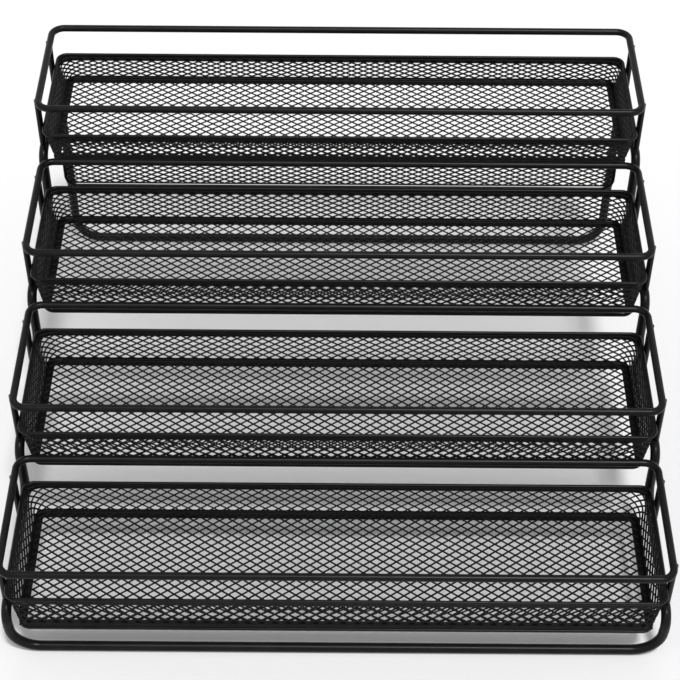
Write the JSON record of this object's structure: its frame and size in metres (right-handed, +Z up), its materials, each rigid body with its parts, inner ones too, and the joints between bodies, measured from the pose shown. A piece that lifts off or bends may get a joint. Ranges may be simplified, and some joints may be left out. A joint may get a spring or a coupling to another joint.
{
  "type": "tiered spice rack",
  "caption": "Stepped wire rack with a row of shallow mesh trays, each inside a raised wire guard rail, carried by stepped side frames.",
  "frame": {"origin": "centre of the rack's footprint, on the surface it stands on", "axes": "+X to the right along the trays, -Y is the front with the lowest tray, +Z up"},
  "size_m": [0.388, 0.3704, 0.1883],
  "materials": {
    "black_wire": "black powder coat, satin",
    "black_mesh": "black powder coat on expanded steel mesh"
  },
  "bodies": {
    "root": {"tier_1_rail": "black_wire", "tier_1_rim": "black_wire", "tier_1_base_wire": "black_wire", "tier_1_floor_mesh": "black_mesh", "tier_1_front_mesh": "black_mesh", "tier_1_rear_mesh": "black_mesh", "tier_1_left_mesh": "black_mesh", "tier_1_right_mesh": "black_mesh", "tier_1_post_front_left": "black_wire", "tier_1_post_front_right": "black_wire", "tier_1_post_rear_left": "black_wire", "tier_1_post_rear_right": "black_wire", "tier_2_rail": "black_wire", "tier_2_rim": "black_wire", "tier_2_base_wire": "black_wire", "tier_2_floor_mesh": "black_mesh", "tier_2_front_mesh": "black_mesh", "tier_2_rear_mesh": "black_mesh", "tier_2_left_mesh": "black_mesh", "tier_2_right_mesh": "black_mesh", "tier_2_post_front_left": "black_wire", "tier_2_post_front_right": "black_wire", "tier_2_post_rear_left": "black_wire", "tier_2_post_rear_right": "black_wire", "tier_3_rail": "black_wire", "tier_3_rim": "black_wire", "tier_3_base_wire": "black_wire", "tier_3_floor_mesh": "black_mesh", "tier_3_front_mesh": "black_mesh", "tier_3_rear_mesh": "black_mesh", "tier_3_left_mesh": "black_mesh", "tier_3_right_mesh": "black_mesh", "tier_3_post_front_left": "black_wire", "tier_3_post_front_right": "black_wire", "tier_3_post_rear_left": "black_wire", "tier_3_post_rear_right": "black_wire", "tier_4_rail": "black_wire", "tier_4_rim": "black_wire", "tier_4_base_wire": "black_wire", "tier_4_floor_mesh": "black_mesh", "tier_4_front_mesh": "black_mesh", "tier_4_rear_mesh": "black_mesh", "tier_4_left_mesh": "black_mesh", "tier_4_right_mesh": "black_mesh", "tier_4_post_front_left": "black_wire", "tier_4_post_front_right": "black_wire", "tier_4_post_rear_left": "black_wire", "tier_4_post_rear_right": "black_wire", "apron_wire": "black_wire", "apron_mesh": "black_mesh", "side_frame_left": "black_wire", "side_frame_right": "black_wire", "front_ground_bar": "black_wire", "rear_ground_bar": "black_wire"}
  },
  "joints": []
}
